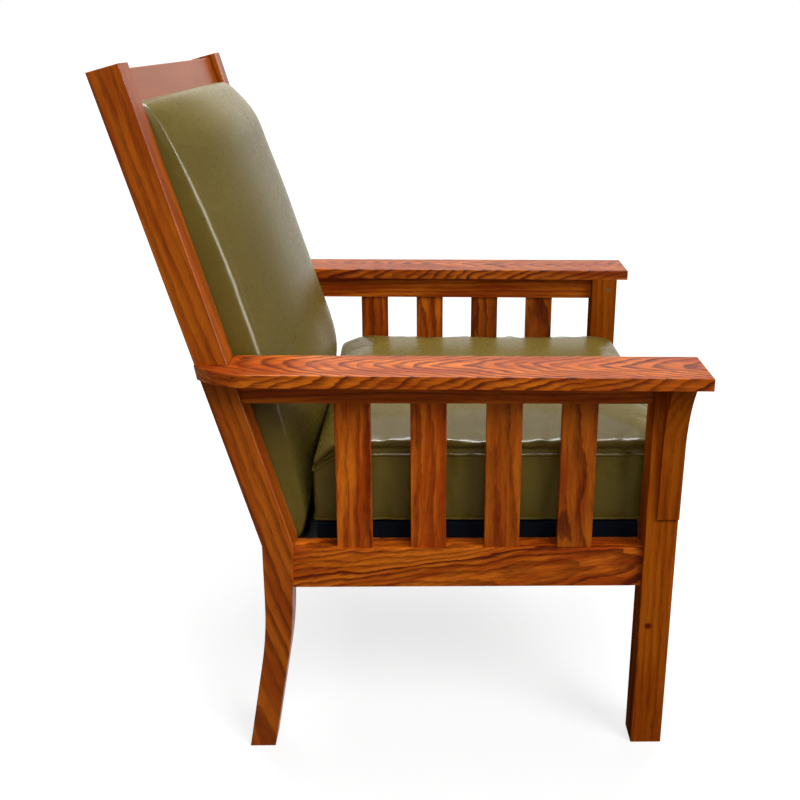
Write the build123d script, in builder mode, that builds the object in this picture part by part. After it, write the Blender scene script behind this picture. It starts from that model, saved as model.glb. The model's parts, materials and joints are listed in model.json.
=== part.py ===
from build123d import *
import os
from math import cos, radians, sin, tan

os.makedirs("parts", exist_ok=True)

# A mission armchair: raked one-piece rear posts, slatted sides, flat arms with corbels,
# and two loose leather cushions on a padded deck of webbing.
# X runs across the chair, Y from the front (-) to the back (+), Z up from the floor.
# The origin is on the floor, under the middle of the chair's bounding box.
# Side pieces are drawn for the chair's right-hand side (-X) and mirrored for the left.

# Overall sizes
overall_width = 788
post_top_height = 998
arm_height = 610
rake_degrees = 16

# Front legs and rear posts
leg_thickness = 47
leg_depth = 47
post_depth = 43
arm_side_overhang = 57
arm_front_overhang = 20
side_opening = 507.5
bend_height = 338
knee_height = 195
knee_radius = 600
foot_depth = 38
foot_kick = 33
edge_round = 1.5

# Arms
arm_width = 104
arm_thickness = 18
arm_taper = 10
tail_length = 84
tail_tip = 3
arm_edge_round = 2
arm_corner_round = 9
notch_gap = 0.3

# Corbels under the arms, on the outer face of the front legs
corbel_height = 212
corbel_width = 32
corbel_foot = 4.5
corbel_waist = 8
corbel_waist_height = 100
corbel_head = 49

# Seat rails and upper side rails
rail_top = 329
rail_height = 62
rail_recess = 9
upper_rail_height = 40
upper_rail_thickness = 21
rear_rail_thickness = 28
rear_rail_setback = 15

# Side slats
slat_count = 4
slat_width = 51
slat_thickness = 13
slat_front_gap = 75
slat_rear_gap = 62
slat_tenon = 8

# The back's frame between the posts
back_recess = 12
back_rail_thickness = 22
crest_height = 91
crest_drop = 5
lower_back_rail_height = 60
lower_back_rail_start = 60
back_slat_count = 5
back_slat_width = 45
back_slat_thickness = 10

# Joinery
tenon_thickness = 10
tenon_length = 12
tenon_shoulder = 6
mortise_gap = 0.5
leg_tenon_width = 25
leg_tenon_height = 10
overrun = 5

# Ledgers and corner blocks under the deck
ledger_width = 20
ledger_height = 22
rear_ledger_width = 54
block_leg = 45
block_height = 20

# Screws
screw_diameter = 4.5
screw_head = 9
screw_head_depth = 2.5
screw_hole_gap = 0.2
ledger_screw_length = 40
ledger_screw_count = 3
corbel_screw_length = 55
lower_corbel_screw_length = 51
corbel_screw_drop = 20
corbel_screw_spread = 110
arm_screw_length = 70

# The drop-in deck
deck_top = 351
deck_pad = 10
deck_cloth = 2
deck_side_gap = 1.5
deck_rear_gap = 27
deck_front_gap = 1.5
deck_rail_width = 45
deck_frame_height = 22.5
web_thickness = 2
web_width = 50
long_web_count = 5
cross_web_count = 4

# Cushions
rest_gap = 0.3
cushion_gap = 0.6
cushion_side_gap = 1
cushion_draw_in = 3
seat_cushion_height = 129
seat_cushion_stand = 24.5
seat_cushion_setback = 3
seat_crown = 27
back_cushion_lap = 48.5
back_cushion_side = 41
back_cushion_thickness = 102

# Places along the seat cushion, from its front to its back. Each gives its share of the
# depth, then the shares of the width, of the height lost below, of the side and of the crown.
seat_station_shares = [
    (0.000, 0.970, 0.09, 0.80, 0.25),
    (0.006, 0.985, 0.03, 0.90, 0.42),
    (0.018, 0.996, 0.01, 0.97, 0.58),
    (0.040, 1.000, 0.00, 1.00, 0.72),
    (0.090, 1.000, 0.00, 1.00, 0.85),
    (0.170, 1.000, 0.00, 1.00, 0.94),
    (0.300, 1.000, 0.00, 1.00, 0.985),
    (0.500, 1.000, 0.00, 1.00, 1.00),
    (0.700, 1.000, 0.00, 1.00, 0.98),
    (0.840, 1.000, 0.00, 1.00, 0.92),
    (0.920, 1.000, 0.00, 0.98, 0.80),
    (0.965, 0.998, 0.01, 0.91, 0.52),
    (0.988, 0.992, 0.03, 0.83, 0.30),
    (1.000, 0.980, 0.07, 0.74, 0.10),
]

# Places up the back cushion, from its lower end. Each gives its share of the length,
# then the shares of the width, of the side band and of the full thickness. Its lower end
# is a wedge behind the seat cushion, and above that it bulges forward over the seat.
back_station_shares = [
    (0.000, 0.985, 0.22, 0.118),
    (0.010, 0.993, 0.30, 0.147),
    (0.031, 0.998, 0.42, 0.208),
    (0.107, 1.000, 0.76, 0.422),
    (0.183, 1.000, 0.89, 0.630),
    (0.224, 1.000, 0.90, 0.745),
    (0.278, 1.000, 0.92, 0.902),
    (0.319, 1.000, 0.94, 0.961),
    (0.365, 1.000, 0.955, 0.991),
    (0.419, 1.000, 0.97, 1.000),
    (0.516, 1.000, 0.99, 0.985),
    (0.615, 1.000, 1.00, 0.972),
    (0.689, 1.000, 1.00, 0.955),
    (0.747, 1.000, 0.95, 0.930),
    (0.792, 1.000, 0.88, 0.912),
    (0.865, 1.000, 0.77, 0.888),
    (0.921, 1.000, 0.66, 0.815),
    (0.951, 1.000, 0.59, 0.720),
    (0.974, 0.998, 0.52, 0.600),
    (0.990, 0.993, 0.43, 0.440),
    (1.000, 0.985, 0.30, 0.240),
]

# Places worked out from the sizes
rake = radians(rake_degrees)
rake_run = tan(rake) * (post_top_height - bend_height)
post_run = post_depth / cos(rake)
overall_depth = (arm_front_overhang + leg_depth + side_opening + rake_run
                 + post_depth * cos(rake))
arm_front = -overall_depth / 2
leg_front = arm_front + arm_front_overhang
leg_back = leg_front + leg_depth
bend_front = leg_back + side_opening
bend_back = bend_front + post_run
leg_outer = overall_width / 2 - arm_side_overhang
leg_inner = leg_outer - leg_thickness
rail_outer = leg_outer - rail_recess
rail_thickness = leg_thickness - rail_recess
rail_middle = rail_outer - rail_thickness / 2
rail_bottom = rail_top - rail_height
upper_rail_middle = rail_outer - upper_rail_thickness / 2
arm_bottom = arm_height - arm_thickness
upper_rail_bottom = arm_bottom - upper_rail_height
leg_middle = leg_front + leg_depth / 2
front_rail_middle = leg_back - rail_thickness / 2
rear_rail_front = bend_front - tan(rake) * (bend_height - rail_top) + rear_rail_setback
rear_rail_middle = rear_rail_front + rear_rail_thickness / 2
ledger_top = deck_top - deck_pad - deck_frame_height - 2 * web_thickness
ledger_bottom = ledger_top - ledger_height
deck_rear = rear_rail_front - rear_rail_setback - deck_rear_gap
deck_frontmost = leg_back + deck_front_gap

# The back's own plane: the posts' front faces, with X across, Y up the posts, Z forward
back_plane = Plane(origin=(0, bend_front, bend_height), x_dir=(1, 0, 0),
                   z_dir=(0, -cos(rake), sin(rake)))
post_front_length = (post_top_height - bend_height) / cos(rake)
crest_middle = post_front_length - crest_drop - crest_height / 2
lower_back_rail_middle = lower_back_rail_start + lower_back_rail_height / 2
back_rail_mid_depth = back_recess + back_rail_thickness / 2


def post_front(z):
    """The posts' front face at height z"""
    return bend_front + tan(rake) * (z - bend_height)


def rear_leg_front(z):
    """The rear legs' front edge at height z, between the knee and the bend"""
    knee_front = bend_back - foot_depth
    slope = (bend_front - knee_front) / (bend_height - knee_height)
    return knee_front + slope * (z - knee_height)


def save(piece, name):
    """Label a finished piece and write it out"""
    piece.part.label = name
    export_step(piece.part, f"parts/{name}.step")


def save_pair(piece, name):
    """Write a right-hand piece and its mirror image for the left"""
    with BuildPart() as twin:
        mirror(piece.part, about=Plane.YZ)
    save(piece, f"{name}_right")
    save(twin, f"{name}_left")


def side_board(points, outer, thickness, mode=Mode.ADD):
    """Extrude an outline drawn in side view, from its outer face towards the middle"""
    with BuildSketch(Plane.YZ.offset(-outer)) as outline:
        with BuildLine():
            Polyline(*points, close=True)
        make_face()
    extrude(outline.sketch, amount=thickness, mode=mode)


def upright_rail_points(low, high, extra):
    """Side view of a rail under the arm, longer by extra at both ends"""
    return [(leg_back - extra, low), (post_front(low) + extra, low),
            (post_front(high) + extra, high), (leg_back - extra, high)]


def seat_rail_points(low, high, extra):
    """Side view of a seat rail, longer by extra at both ends"""
    return [(leg_back - extra, low), (rear_leg_front(low) + extra, low),
            (rear_leg_front(high) + extra, high), (leg_back - extra, high)]


def side_tenon(points, middle, mode=Mode.ADD):
    """A tenon or mortise in side view, centred across its rail"""
    side_board(points, middle + tenon_thickness / 2, tenon_thickness, mode)


def cross_bar(y, z, length, depth, height, mode=Mode.ADD):
    """A bar across the chair, or the mortises that its ends need"""
    with Locations((0, y, z)):
        Box(length, depth, height, mode=mode)


def back_bar(middle, length, height, thickness, depth, mode=Mode.ADD):
    """A bar between the posts, centred at a depth behind their front faces"""
    with BuildSketch(back_plane.offset(-depth - thickness / 2)) as outline:
        with Locations((0, middle)):
            Rectangle(length, height)
    extrude(outline.sketch, amount=thickness, mode=mode)


def screw_solid(length, gap, mode=Mode.ADD):
    """A countersunk screw along the local Z axis, its head's top at zero"""
    shank = screw_diameter / 2 + gap
    head = screw_head / 2 + gap
    with BuildSketch(Plane.XZ) as profile:
        with BuildLine():
            Polyline((0, 0), (head, 0), (shank, -screw_head_depth), (shank, -length - gap),
                     (0, -length - gap), close=True)
        make_face()
    revolve(profile.sketch, axis=Axis.Z, mode=mode)


def driven(plane, length, gap, mode=Mode.ADD):
    """A screw, or the hole for one, driven straight down into a plane"""
    with BuildPart(mode=Mode.PRIVATE) as screw:
        screw_solid(length, gap)
    add(plane * screw.part, mode=mode)


# Where the screws go, on the right-hand side: planes that face the screwdriver
ledger_run = deck_rear - leg_back
ledger_middle_height = (ledger_top + ledger_bottom) / 2
ledger_screw_planes = [
    Plane(origin=(ledger_width - leg_inner, leg_back + ledger_run * (k + 0.5) / ledger_screw_count,
                  ledger_middle_height), z_dir=(1, 0, 0))
    for k in range(ledger_screw_count)
]
corbel_middle = leg_front + corbel_width / 2
corbel_bottom = arm_bottom - corbel_height
corbel_screw_planes = [
    Plane(origin=(-leg_inner, corbel_middle, arm_bottom - corbel_screw_drop - spread),
          z_dir=(1, 0, 0))
    for spread in (0, corbel_screw_spread)
]
corbel_screw_lengths = [corbel_screw_length, lower_corbel_screw_length]
arm_screw_height = arm_height - arm_thickness / 2
arm_screw_plane = Plane(
    origin=(-leg_inner, post_front(arm_screw_height) + post_run / 2, arm_screw_height),
    z_dir=(1, 0, 0))


# Rear posts: post and sabre leg sawn from one board
post_top_back = (post_front(post_top_height) + post_depth * cos(rake),
                 post_top_height - post_depth * sin(rake))
knee_back_point = (bend_back, knee_height)
knee_front_point = (bend_back - foot_depth, knee_height)
mortise_reach = 2 * (leg_inner + tenon_length + mortise_gap)
with BuildPart() as rear_post:
    with BuildSketch(Plane.YZ.offset(-leg_outer)) as post_outline:
        with BuildLine():
            Polyline((bend_back + foot_kick - foot_depth, 0), (bend_back + foot_kick, 0),
                     knee_back_point, (bend_back, bend_height), post_top_back,
                     (post_front(post_top_height), post_top_height), (bend_front, bend_height),
                     knee_front_point, close=True)
        make_face()
        for knee in (knee_back_point, knee_front_point):
            fillet(post_outline.vertices().sort_by_distance((*knee, 0))[0], knee_radius)
    extrude(amount=leg_thickness)
    fillet(rear_post.faces().filter_by(Axis.X).edges(), edge_round)
    side_tenon(seat_rail_points(rail_bottom + tenon_shoulder, rail_top - tenon_shoulder,
                                tenon_length + mortise_gap), rail_middle, Mode.SUBTRACT)
    side_tenon(upright_rail_points(upper_rail_bottom + tenon_shoulder, arm_bottom - tenon_shoulder,
                                   tenon_length + mortise_gap), upper_rail_middle, Mode.SUBTRACT)
    cross_bar(rear_rail_middle, rail_top - rail_height / 2, mortise_reach, tenon_thickness,
              rail_height - 2 * tenon_shoulder, Mode.SUBTRACT)
    back_bar(crest_middle, mortise_reach, crest_height - 2 * tenon_shoulder, tenon_thickness,
             back_rail_mid_depth, Mode.SUBTRACT)
    back_bar(lower_back_rail_middle, mortise_reach, lower_back_rail_height - 2 * tenon_shoulder,
             tenon_thickness, back_rail_mid_depth, Mode.SUBTRACT)
    driven(arm_screw_plane, arm_screw_length, screw_hole_gap, Mode.SUBTRACT)
save_pair(rear_post, "rear_post")

# Front legs, tenoned up into the arms
with BuildPart() as front_leg:
    with BuildSketch() as leg_section:
        with Locations((-leg_outer + leg_thickness / 2, leg_middle)):
            Rectangle(leg_thickness, leg_depth)
    extrude(amount=arm_bottom)
    fillet(front_leg.edges().filter_by(Axis.Z), edge_round)
    with Locations((-leg_outer + leg_thickness / 2, leg_middle, arm_bottom)):
        Box(leg_tenon_width, leg_tenon_width, leg_tenon_height,
            align=(Align.CENTER, Align.CENTER, Align.MIN))
    side_tenon(seat_rail_points(rail_bottom + tenon_shoulder, rail_top - tenon_shoulder,
                                tenon_length + mortise_gap), rail_middle, Mode.SUBTRACT)
    side_tenon(upright_rail_points(upper_rail_bottom + tenon_shoulder, arm_bottom - tenon_shoulder,
                                   tenon_length + mortise_gap), upper_rail_middle, Mode.SUBTRACT)
    cross_bar(front_rail_middle, rail_top - rail_height / 2, mortise_reach, tenon_thickness,
              rail_height - 2 * tenon_shoulder, Mode.SUBTRACT)
    for plane, length in zip(corbel_screw_planes, corbel_screw_lengths):
        driven(plane, length, screw_hole_gap, Mode.SUBTRACT)
save_pair(front_leg, "front_leg")

# Arms: tapered boards, notched round the posts, their tails curving in behind
arm_outer = overall_width / 2
arm_inner = arm_outer - arm_width
post_back_at_arm = post_front(arm_height) + post_run
tail_start = post_back_at_arm - tail_length
tail_outer = arm_outer - arm_taper
tail_inward = tail_outer - leg_outer - tail_tip
tail_radius = (tail_length ** 2 + tail_inward ** 2) / (2 * tail_inward)
with BuildPart() as arm:
    with BuildSketch(Plane.XY.offset(arm_bottom)) as arm_outline:
        with BuildLine():
            Line((-arm_inner, arm_front), (-arm_outer, arm_front))
            Line((-arm_outer, arm_front), (-tail_outer, tail_start))
            tail_arc = RadiusArc((-tail_outer, tail_start),
                                 (-leg_outer - tail_tip, post_back_at_arm), tail_radius)
            Polyline(tail_arc @ 1, (-arm_inner, post_back_at_arm), (-arm_inner, arm_front))
        make_face()
    extrude(amount=arm_thickness)
    post_notch = [(post_front(arm_bottom - overrun) - notch_gap, arm_bottom - overrun),
                  (post_front(arm_height + overrun) - notch_gap, arm_height + overrun),
                  (bend_back + rake_run, arm_height + overrun),
                  (bend_back + rake_run, arm_bottom - overrun)]
    side_board(post_notch, leg_outer, leg_thickness + overrun, Mode.SUBTRACT)
    tail_cut = [(post_front(arm_bottom - overrun) + post_run, arm_bottom - overrun),
                (post_front(arm_height + overrun) + post_run, arm_height + overrun),
                (bend_back + rake_run, arm_height + overrun),
                (bend_back + rake_run, arm_bottom - overrun)]
    side_board(tail_cut, arm_outer, arm_width, Mode.SUBTRACT)
    inner_corner = (-arm_inner, post_front(arm_bottom) - notch_gap, arm_bottom)
    fillet(arm.edges().filter_by(GeomType.LINE).filter_by(Axis.Y, reverse=True)
           .filter_by(Axis.X, reverse=True).sort_by_distance(inner_corner)[0], arm_corner_round)
    fillet(arm.edges().group_by(Axis.Z)[-1].filter_by_position(Axis.Y, arm_front, tail_start),
           arm_edge_round)
    with Locations((-leg_outer + leg_thickness / 2, leg_middle, arm_bottom)):
        Box(leg_tenon_width, leg_tenon_width, leg_tenon_height + mortise_gap,
            align=(Align.CENTER, Align.CENTER, Align.MIN), mode=Mode.SUBTRACT)
    driven(arm_screw_plane, arm_screw_length, screw_hole_gap, Mode.SUBTRACT)
save_pair(arm, "arm")

# Corbels: a straight foot that sweeps out in one arc to the arm
waist_height = corbel_bottom + corbel_waist_height
sweep_rise = arm_bottom - waist_height
sweep_reach = corbel_head - corbel_waist
sweep_radius = (sweep_rise ** 2 + sweep_reach ** 2) / (2 * sweep_reach)
with BuildPart() as corbel:
    with BuildSketch(Plane.XZ.offset(-leg_front)) as corbel_outline:
        with BuildLine():
            foot_line = Polyline((-leg_outer, arm_bottom), (-leg_outer, corbel_bottom),
                                 (-leg_outer - corbel_foot, corbel_bottom),
                                 (-leg_outer - corbel_waist, waist_height))
            RadiusArc(foot_line @ 1, (-leg_outer - corbel_head, arm_bottom), -sweep_radius)
            Line((-leg_outer - corbel_head, arm_bottom), (-leg_outer, arm_bottom))
        make_face()
    extrude(amount=-corbel_width)
    for plane, length in zip(corbel_screw_planes, corbel_screw_lengths):
        driven(plane, length, screw_hole_gap, Mode.SUBTRACT)
save_pair(corbel, "corbel")

# Seat side rails, with mortises for the slats
slat_run = side_opening - slat_front_gap - slat_rear_gap - slat_width
slat_pitch = slat_run / (slat_count - 1)
slat_starts = [leg_back + slat_front_gap + k * slat_pitch for k in range(slat_count)]


def slat_mortises(face, direction):
    """Blind mortises for the slats' tenons, into a rail's face"""
    for start in slat_starts:
        with Locations((-upper_rail_middle, start + slat_width / 2,
                        face + direction * (slat_tenon + mortise_gap) / 2)):
            Box(tenon_thickness, slat_width - 2 * tenon_shoulder, slat_tenon + mortise_gap,
                mode=Mode.SUBTRACT)


with BuildPart() as seat_side_rail:
    side_board(seat_rail_points(rail_bottom, rail_top, 0), rail_outer, rail_thickness)
    fillet(seat_side_rail.edges().filter_by(Axis.Y), edge_round)
    side_tenon(seat_rail_points(rail_bottom + tenon_shoulder, rail_top - tenon_shoulder,
                                tenon_length), rail_middle)
    slat_mortises(rail_top, -1)
    for plane in ledger_screw_planes:
        driven(plane, ledger_screw_length, screw_hole_gap, Mode.SUBTRACT)
save_pair(seat_side_rail, "seat_side_rail")

# Upper side rails, under the arms
with BuildPart() as upper_side_rail:
    side_board(upright_rail_points(upper_rail_bottom, arm_bottom, 0), rail_outer,
               upper_rail_thickness)
    side_tenon(upright_rail_points(upper_rail_bottom + tenon_shoulder,
                                   arm_bottom - tenon_shoulder, tenon_length), upper_rail_middle)
    slat_mortises(upper_rail_bottom, 1)
save_pair(upper_side_rail, "upper_side_rail")

# Side slats
for number, start in enumerate(slat_starts, 1):
    with BuildPart() as side_slat:
        with Locations((-upper_rail_middle, start + slat_width / 2, rail_top)):
            Box(slat_thickness, slat_width, upper_rail_bottom - rail_top,
                align=(Align.CENTER, Align.CENTER, Align.MIN))
        fillet(side_slat.edges().filter_by(Axis.Z), edge_round)
        with Locations((-upper_rail_middle, start + slat_width / 2, rail_top - slat_tenon)):
            Box(tenon_thickness, slat_width - 2 * tenon_shoulder,
                upper_rail_bottom - rail_top + 2 * slat_tenon,
                align=(Align.CENTER, Align.CENTER, Align.MIN))
    save_pair(side_slat, f"side_slat_{number}")

# Front and rear seat rails
with BuildPart() as front_seat_rail:
    cross_bar(front_rail_middle, rail_top - rail_height / 2, 2 * leg_inner, rail_thickness,
              rail_height)
    fillet(front_seat_rail.edges().filter_by(Axis.X), edge_round)
    cross_bar(front_rail_middle, rail_top - rail_height / 2, 2 * (leg_inner + tenon_length),
              tenon_thickness, rail_height - 2 * tenon_shoulder)
save(front_seat_rail, "front_seat_rail")

with BuildPart() as rear_seat_rail:
    cross_bar(rear_rail_middle, rail_top - rail_height / 2, 2 * leg_inner, rear_rail_thickness,
              rail_height)
    cross_bar(rear_rail_middle, rail_top - rail_height / 2, 2 * (leg_inner + tenon_length),
              tenon_thickness, rail_height - 2 * tenon_shoulder)
save(rear_seat_rail, "rear_seat_rail")

# The back: crest rail, lower rail and slats between the posts
back_slat_pitch = 2 * leg_inner / (back_slat_count + 1)
back_slat_places = [(k + 1) * back_slat_pitch - leg_inner for k in range(back_slat_count)]
back_slat_low = lower_back_rail_start + lower_back_rail_height
back_slat_high = crest_middle - crest_height / 2


def back_slat_bars(length, width, thickness, mode=Mode.ADD):
    """Bars up the back at the slats' places, or the mortises for them"""
    with BuildSketch(back_plane.offset(-back_rail_mid_depth - thickness / 2)) as outline:
        with Locations(*[(x, (back_slat_low + back_slat_high) / 2) for x in back_slat_places]):
            Rectangle(width, length)
    extrude(outline.sketch, amount=thickness, mode=mode)


back_slat_length = back_slat_high - back_slat_low
back_mortise_length = back_slat_length + 2 * (slat_tenon + mortise_gap)
back_tenon_thickness = back_slat_thickness / 2
for name, middle, height in (("crest_rail", crest_middle, crest_height),
                             ("lower_back_rail", lower_back_rail_middle, lower_back_rail_height)):
    with BuildPart() as back_rail:
        back_bar(middle, 2 * leg_inner, height, back_rail_thickness, back_rail_mid_depth)
        fillet(back_rail.edges().filter_by(Axis.X), edge_round)
        back_bar(middle, 2 * (leg_inner + tenon_length), height - 2 * tenon_shoulder,
                 tenon_thickness, back_rail_mid_depth)
        back_slat_bars(back_mortise_length, back_slat_width - 2 * tenon_shoulder,
                       back_tenon_thickness, Mode.SUBTRACT)
    save(back_rail, name)

for number, x in enumerate(back_slat_places, 1):
    with BuildPart() as back_slat:
        for width, length, thickness in (
                (back_slat_width, back_slat_length, back_slat_thickness),
                (back_slat_width - 2 * tenon_shoulder, back_slat_length + 2 * slat_tenon,
                 back_tenon_thickness)):
            with BuildSketch(back_plane.offset(-back_rail_mid_depth - thickness / 2)):
                with Locations((x, (back_slat_low + back_slat_high) / 2)):
                    Rectangle(width, length)
            extrude(amount=thickness)
    save(back_slat, f"back_slat_{number}")

# Ledgers that carry the deck
with BuildPart() as side_ledger:
    with Locations((-leg_inner, leg_back + ledger_width, ledger_bottom)):
        Box(ledger_width, rear_rail_front - rear_ledger_width - leg_back - ledger_width,
            ledger_height, align=Align.MIN)
    for plane in ledger_screw_planes:
        driven(plane, ledger_screw_length, screw_hole_gap, Mode.SUBTRACT)
save_pair(side_ledger, "side_ledger")

with BuildPart() as front_ledger:
    with Locations((0, leg_back, ledger_bottom)):
        Box(2 * leg_inner, ledger_width, ledger_height,
            align=(Align.CENTER, Align.MIN, Align.MIN))
save(front_ledger, "front_ledger")

with BuildPart() as rear_ledger:
    with Locations((0, rear_rail_front, ledger_bottom)):
        Box(2 * leg_inner, rear_ledger_width, ledger_height,
            align=(Align.CENTER, Align.MAX, Align.MIN))
save(rear_ledger, "rear_ledger")

# Corner blocks glued under the ledgers
for name, y, direction in (("front_corner_block", leg_back, 1),
                           ("rear_corner_block", rear_rail_front, -1)):
    with BuildPart() as corner_block:
        with BuildSketch(Plane.XY.offset(ledger_bottom - block_height)) as block_outline:
            with BuildLine():
                Polyline((-leg_inner, y), (-leg_inner + block_leg, y),
                         (-leg_inner, y + direction * block_leg), close=True)
            make_face()
        extrude(amount=block_height)
    save_pair(corner_block, name)

# Screws, one node for each kind
with BuildPart() as ledger_screws:
    for plane in ledger_screw_planes:
        driven(plane, ledger_screw_length, 0)
    mirror(about=Plane.YZ)
save(ledger_screws, "ledger_screws")

with BuildPart() as corbel_screws:
    for plane, length in zip(corbel_screw_planes, corbel_screw_lengths):
        driven(plane, length, 0)
    mirror(about=Plane.YZ)
save(corbel_screws, "corbel_screws")

with BuildPart() as arm_screws:
    driven(arm_screw_plane, arm_screw_length, 0)
    mirror(about=Plane.YZ)
save(arm_screws, "arm_screws")

# The deck: a wooden frame, two layers of webbing and a dark padded cover
deck_half = leg_inner - deck_side_gap - deck_cloth
deck_frame_back = deck_rear - deck_cloth
deck_frame_front = deck_frontmost + deck_cloth
deck_frame_depth = deck_frame_back - deck_frame_front
deck_frame_top = ledger_top + deck_frame_height
with BuildPart() as deck_side:
    with Locations((-deck_half, deck_frame_front, ledger_top)):
        Box(deck_rail_width, deck_frame_depth, deck_frame_height, align=Align.MIN)
save_pair(deck_side, "deck_side")

for name, y, alignment in (("deck_front", deck_frame_front, Align.MIN),
                           ("deck_back", deck_frame_back, Align.MAX)):
    with BuildPart() as deck_end:
        with Locations((0, y, ledger_top)):
            Box(2 * (deck_half - deck_rail_width), deck_rail_width, deck_frame_height,
                align=(Align.CENTER, alignment, Align.MIN))
    save(deck_end, name)

web_span = 2 * deck_half
long_web_pitch = web_span / long_web_count
cross_web_pitch = deck_frame_depth / cross_web_count
deck_frame_middle = (deck_frame_front + deck_frame_back) / 2
with BuildPart() as long_webbing:
    with Locations(*[((k + 0.5) * long_web_pitch - deck_half, deck_frame_middle, deck_frame_top)
                     for k in range(long_web_count)]):
        Box(web_width, deck_frame_depth, web_thickness,
            align=(Align.CENTER, Align.CENTER, Align.MIN))
save(long_webbing, "long_webbing")

with BuildPart() as cross_webbing:
    with Locations(*[(0, deck_frame_front + (k + 0.5) * cross_web_pitch,
                      deck_frame_top + web_thickness) for k in range(cross_web_count)]):
        Box(web_span, web_width, web_thickness, align=(Align.CENTER, Align.CENTER, Align.MIN))
save(cross_webbing, "cross_webbing")

cover_half = deck_half + deck_cloth
cover_depth = deck_frame_depth + 2 * deck_cloth
with BuildPart() as deck_cover:
    with Locations((0, deck_frame_middle, ledger_top)):
        Box(2 * cover_half, cover_depth, deck_top - ledger_top,
            align=(Align.CENTER, Align.CENTER, Align.MIN))
        Box(2 * deck_half, deck_frame_depth, deck_frame_height + 2 * web_thickness,
            align=(Align.CENTER, Align.CENTER, Align.MIN), mode=Mode.SUBTRACT)
save(deck_cover, "deck_cover")


# Cushions
def cushion_section(plane, half_width, low, side, peak):
    """A slice of a cushion: flat below, drawn in at the sides, crowned above"""
    draw_in = cushion_draw_in * (side - low) / seat_cushion_height
    waist = (low + side) / 2
    with BuildSketch(plane) as section:
        with BuildLine():
            Line((-half_width, low), (half_width, low))
            ThreePointArc((half_width, low), (half_width - draw_in, waist), (half_width, side))
            ThreePointArc((half_width, side), (0, peak), (-half_width, side))
            ThreePointArc((-half_width, side), (draw_in - half_width, waist),
                          (-half_width, low))
        make_face()
    return section.sketch


cushion_half = leg_inner - cushion_side_gap
back_cushion_low = (ledger_top + rest_gap - bend_height + back_recess * sin(rake)) / cos(rake)
back_cushion_length = crest_middle - crest_height / 2 + back_cushion_lap - back_cushion_low


def back_cushion_form(grow, mode=Mode.ADD):
    """The back cushion, or that form grown all round, which the seat cushion keeps clear of"""
    sections = []
    for along_share, width_share, side_share, peak_share in back_station_shares:
        along = back_cushion_low + back_cushion_length * along_share
        origin = back_plane.from_local_coords((0, along, -back_recess))
        plane = Plane(origin=origin, x_dir=(1, 0, 0), z_dir=(0, -sin(rake), -cos(rake)))
        sections.append(cushion_section(
            plane, cushion_half * width_share + grow, rest_gap - grow,
            back_cushion_side * side_share + grow,
            back_cushion_thickness * peak_share + grow))
    loft(sections, ruled=True, mode=mode)


with BuildPart() as back_cushion:
    back_cushion_form(0)
save(back_cushion, "back_cushion")

seat_cushion_low = deck_top + rest_gap
seat_cushion_front = leg_front + seat_cushion_setback
seat_cushion_depth = bend_front - seat_cushion_stand - seat_cushion_front
with BuildPart() as seat_cushion:
    seat_sections = []
    for depth_share, width_share, lift_share, side_share, crown_share in seat_station_shares:
        y = seat_cushion_front + seat_cushion_depth * depth_share
        side_height = seat_cushion_low + seat_cushion_height * side_share
        seat_sections.append(cushion_section(
            Plane.XZ.offset(-y), cushion_half * width_share,
            seat_cushion_low + seat_cushion_height * lift_share, side_height,
            side_height + seat_crown * crown_share))
    loft(seat_sections, ruled=True)
    back_cushion_form(cushion_gap, Mode.SUBTRACT)
save(seat_cushion, "seat_cushion")
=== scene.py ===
# %% [markdown]
# A mission armchair, dressed from its CAD frame
#
# The chair is a frame of stained oak boards with two loose cushions in glossy olive leather. Its boards
# come ready from the CAD model, so they only need wood. The cushions are sewn and stuffed here, because
# leather over foam swells, draws in and puckers in ways that a solid does not.

# %% Load the frame
import json
from math import atan2, cos, degrees, exp, pi, radians, sin

import bmesh
import bpy
from mathutils import Euler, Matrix, Quaternion, Vector, noise


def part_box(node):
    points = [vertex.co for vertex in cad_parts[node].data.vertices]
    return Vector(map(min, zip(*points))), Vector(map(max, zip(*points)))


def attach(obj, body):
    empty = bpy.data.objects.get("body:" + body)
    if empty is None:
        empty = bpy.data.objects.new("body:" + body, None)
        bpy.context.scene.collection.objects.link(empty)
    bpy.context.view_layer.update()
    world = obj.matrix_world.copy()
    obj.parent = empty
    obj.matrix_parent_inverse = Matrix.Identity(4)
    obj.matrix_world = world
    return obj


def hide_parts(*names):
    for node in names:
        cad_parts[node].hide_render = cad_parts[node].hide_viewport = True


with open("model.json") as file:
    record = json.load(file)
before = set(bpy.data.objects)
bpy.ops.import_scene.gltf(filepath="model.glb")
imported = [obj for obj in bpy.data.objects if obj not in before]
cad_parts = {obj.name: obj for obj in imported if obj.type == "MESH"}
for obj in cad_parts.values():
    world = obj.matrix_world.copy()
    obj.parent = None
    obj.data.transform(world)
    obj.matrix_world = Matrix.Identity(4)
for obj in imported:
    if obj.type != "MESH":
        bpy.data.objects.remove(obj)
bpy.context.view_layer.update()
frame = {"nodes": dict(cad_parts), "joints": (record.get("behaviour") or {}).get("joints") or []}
nodes = frame["nodes"]

MM = 0.001

# %% [markdown]
# The camera stands at the chair's right-hand side, just above the top of its back, and looks down at
# it. It could be aimed by eye, but a camera worked out from the lines of the boards fits every corner at
# once: its place, its turn, its tilt and a small lean. The chair sits off the middle of the picture, and
# the shift holds that without turning the camera.

# %% Camera
camera_place = Vector((-1756.2, -26.5, 1042.7)) * MM
camera_turn = radians(2.4015)
camera_tilt = radians(18.7575)
camera_lean = radians(0.8750)
camera_lens, camera_shift = 48.967, -0.09375

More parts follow.
